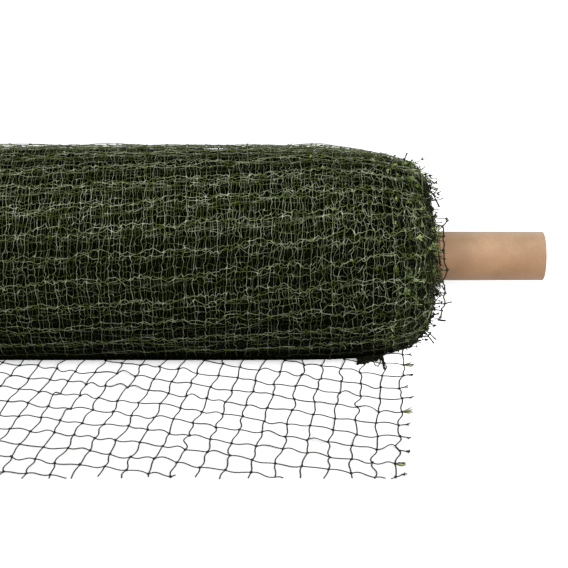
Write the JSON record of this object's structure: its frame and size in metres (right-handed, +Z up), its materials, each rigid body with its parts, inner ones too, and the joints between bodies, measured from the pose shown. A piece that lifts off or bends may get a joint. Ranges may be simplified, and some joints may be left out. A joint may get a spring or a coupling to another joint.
{
  "type": "cat netting roll on a card core tube, with its loose end drawn out",
  "caption": "Roll of knotted square-mesh netting wound on a card tube, lying down with its loose end drawn out flat in front.",
  "frame": {"origin": "on the floor under the middle of the roll, in the middle of its flat spot", "axes": "+Z up, +X along the core to the right seen from the loose end, and the loose end runs out towards -Y"},
  "size_m": [1.258, 0.4754, 0.299],
  "materials": {
    "core_card": "matt spiral-wound kraft card",
    "wound_net": "dark olive knotted twine, many turns deep",
    "net_strand": "dark olive monofilament and flat-fibre twine"
  },
  "bodies": {
    "root": {"core_tube": "core_card", "net_roll": "wound_net", "loose_end": "net_strand"}
  },
  "joints": []
}
